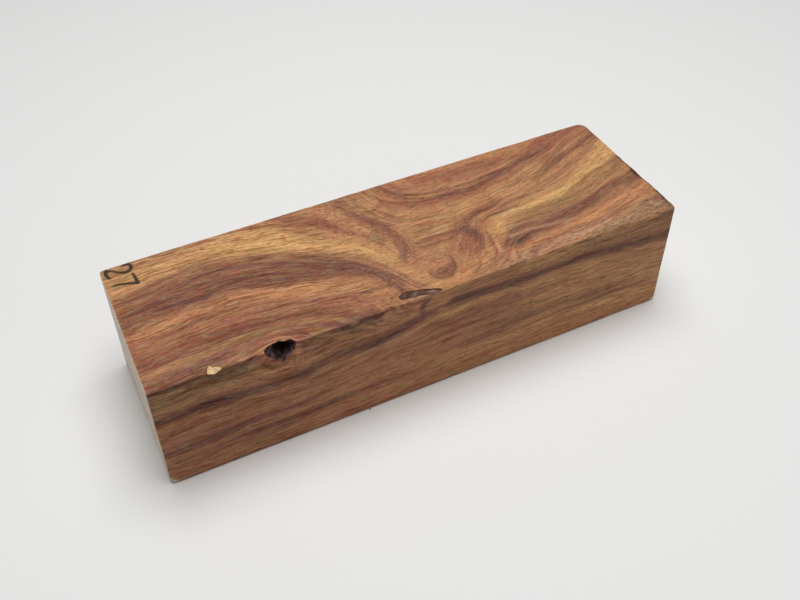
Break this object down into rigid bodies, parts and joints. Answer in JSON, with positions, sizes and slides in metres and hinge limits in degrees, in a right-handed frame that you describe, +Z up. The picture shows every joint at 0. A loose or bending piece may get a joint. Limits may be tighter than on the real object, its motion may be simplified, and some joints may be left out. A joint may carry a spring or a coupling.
{
  "type": "ironwood block",
  "caption": "Sawn rectangular block of figured ironwood with a knot hole and a bark pocket on one long edge, lying flat.",
  "frame": {"origin": "middle of the flat bottom", "axes": "+X along the length and the grain, +Y to the back, +Z up; the knot hole and the bark pocket are on the top front edge"},
  "size_m": [0.131, 0.0407, 0.031],
  "materials": {
    "ironwood": "sawn and lightly sanded, oily heartwood with a dull sheen"
  },
  "bodies": {
    "root": {"ironwood_block": "ironwood"}
  },
  "joints": []
}
